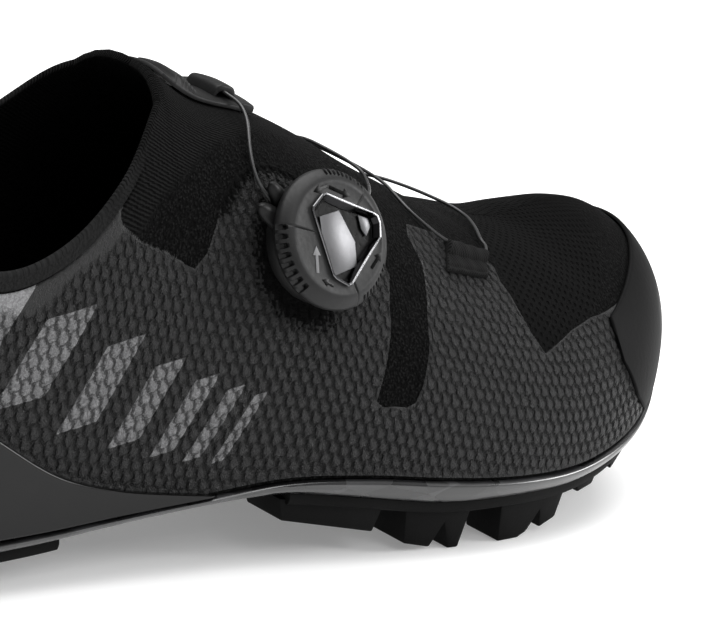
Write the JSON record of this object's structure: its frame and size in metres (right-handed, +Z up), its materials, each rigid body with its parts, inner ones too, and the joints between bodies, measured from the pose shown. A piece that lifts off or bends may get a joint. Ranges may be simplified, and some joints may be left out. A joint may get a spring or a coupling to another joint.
{
  "type": "cycling shoe",
  "caption": "Right off-road cycling shoe: hollow knitted upper on a stiff carbon sole with rubber lugs, closed by a thin lace and a dial.",
  "frame": {"origin": "centre of the shoe's box on the floor it stands on", "axes": "+X from the heel to the toe, +Y to the inside of the foot, +Z up"},
  "size_m": [0.2854, 0.101, 0.1189],
  "materials": {
    "carbon": "flaked carbon under clear coat",
    "rubber": "matt moulded rubber",
    "knit": "knit with an embossed film",
    "film": "satin film",
    "gloss": "glossy moulding",
    "foam": "cloth-faced foam",
    "plastic": "satin moulding",
    "webbing": "woven webbing",
    "metal": "polished",
    "wire": "coated wire lace"
  },
  "bodies": {
    "root": {"outsole_plate": "carbon", "forefoot_tread": "rubber", "heel_tread": "rubber", "heel_counter": "gloss", "upper": "knit", "toe_cap": "film", "insole": "foam", "tongue_guide": "plastic", "webbing_loop_lateral": "webbing", "webbing_loop_medial_rear": "webbing", "webbing_loop_medial_front": "webbing", "lace_dial_to_tongue": "wire", "lace_tongue_to_medial": "wire", "lace_crossing": "wire", "lace_toe": "wire", "dial_base": "plastic", "dial_knob": "plastic", "dial_ring": "metal", "dial_plate_rear": "metal", "dial_plate_front": "metal"}
  },
  "joints": []
}
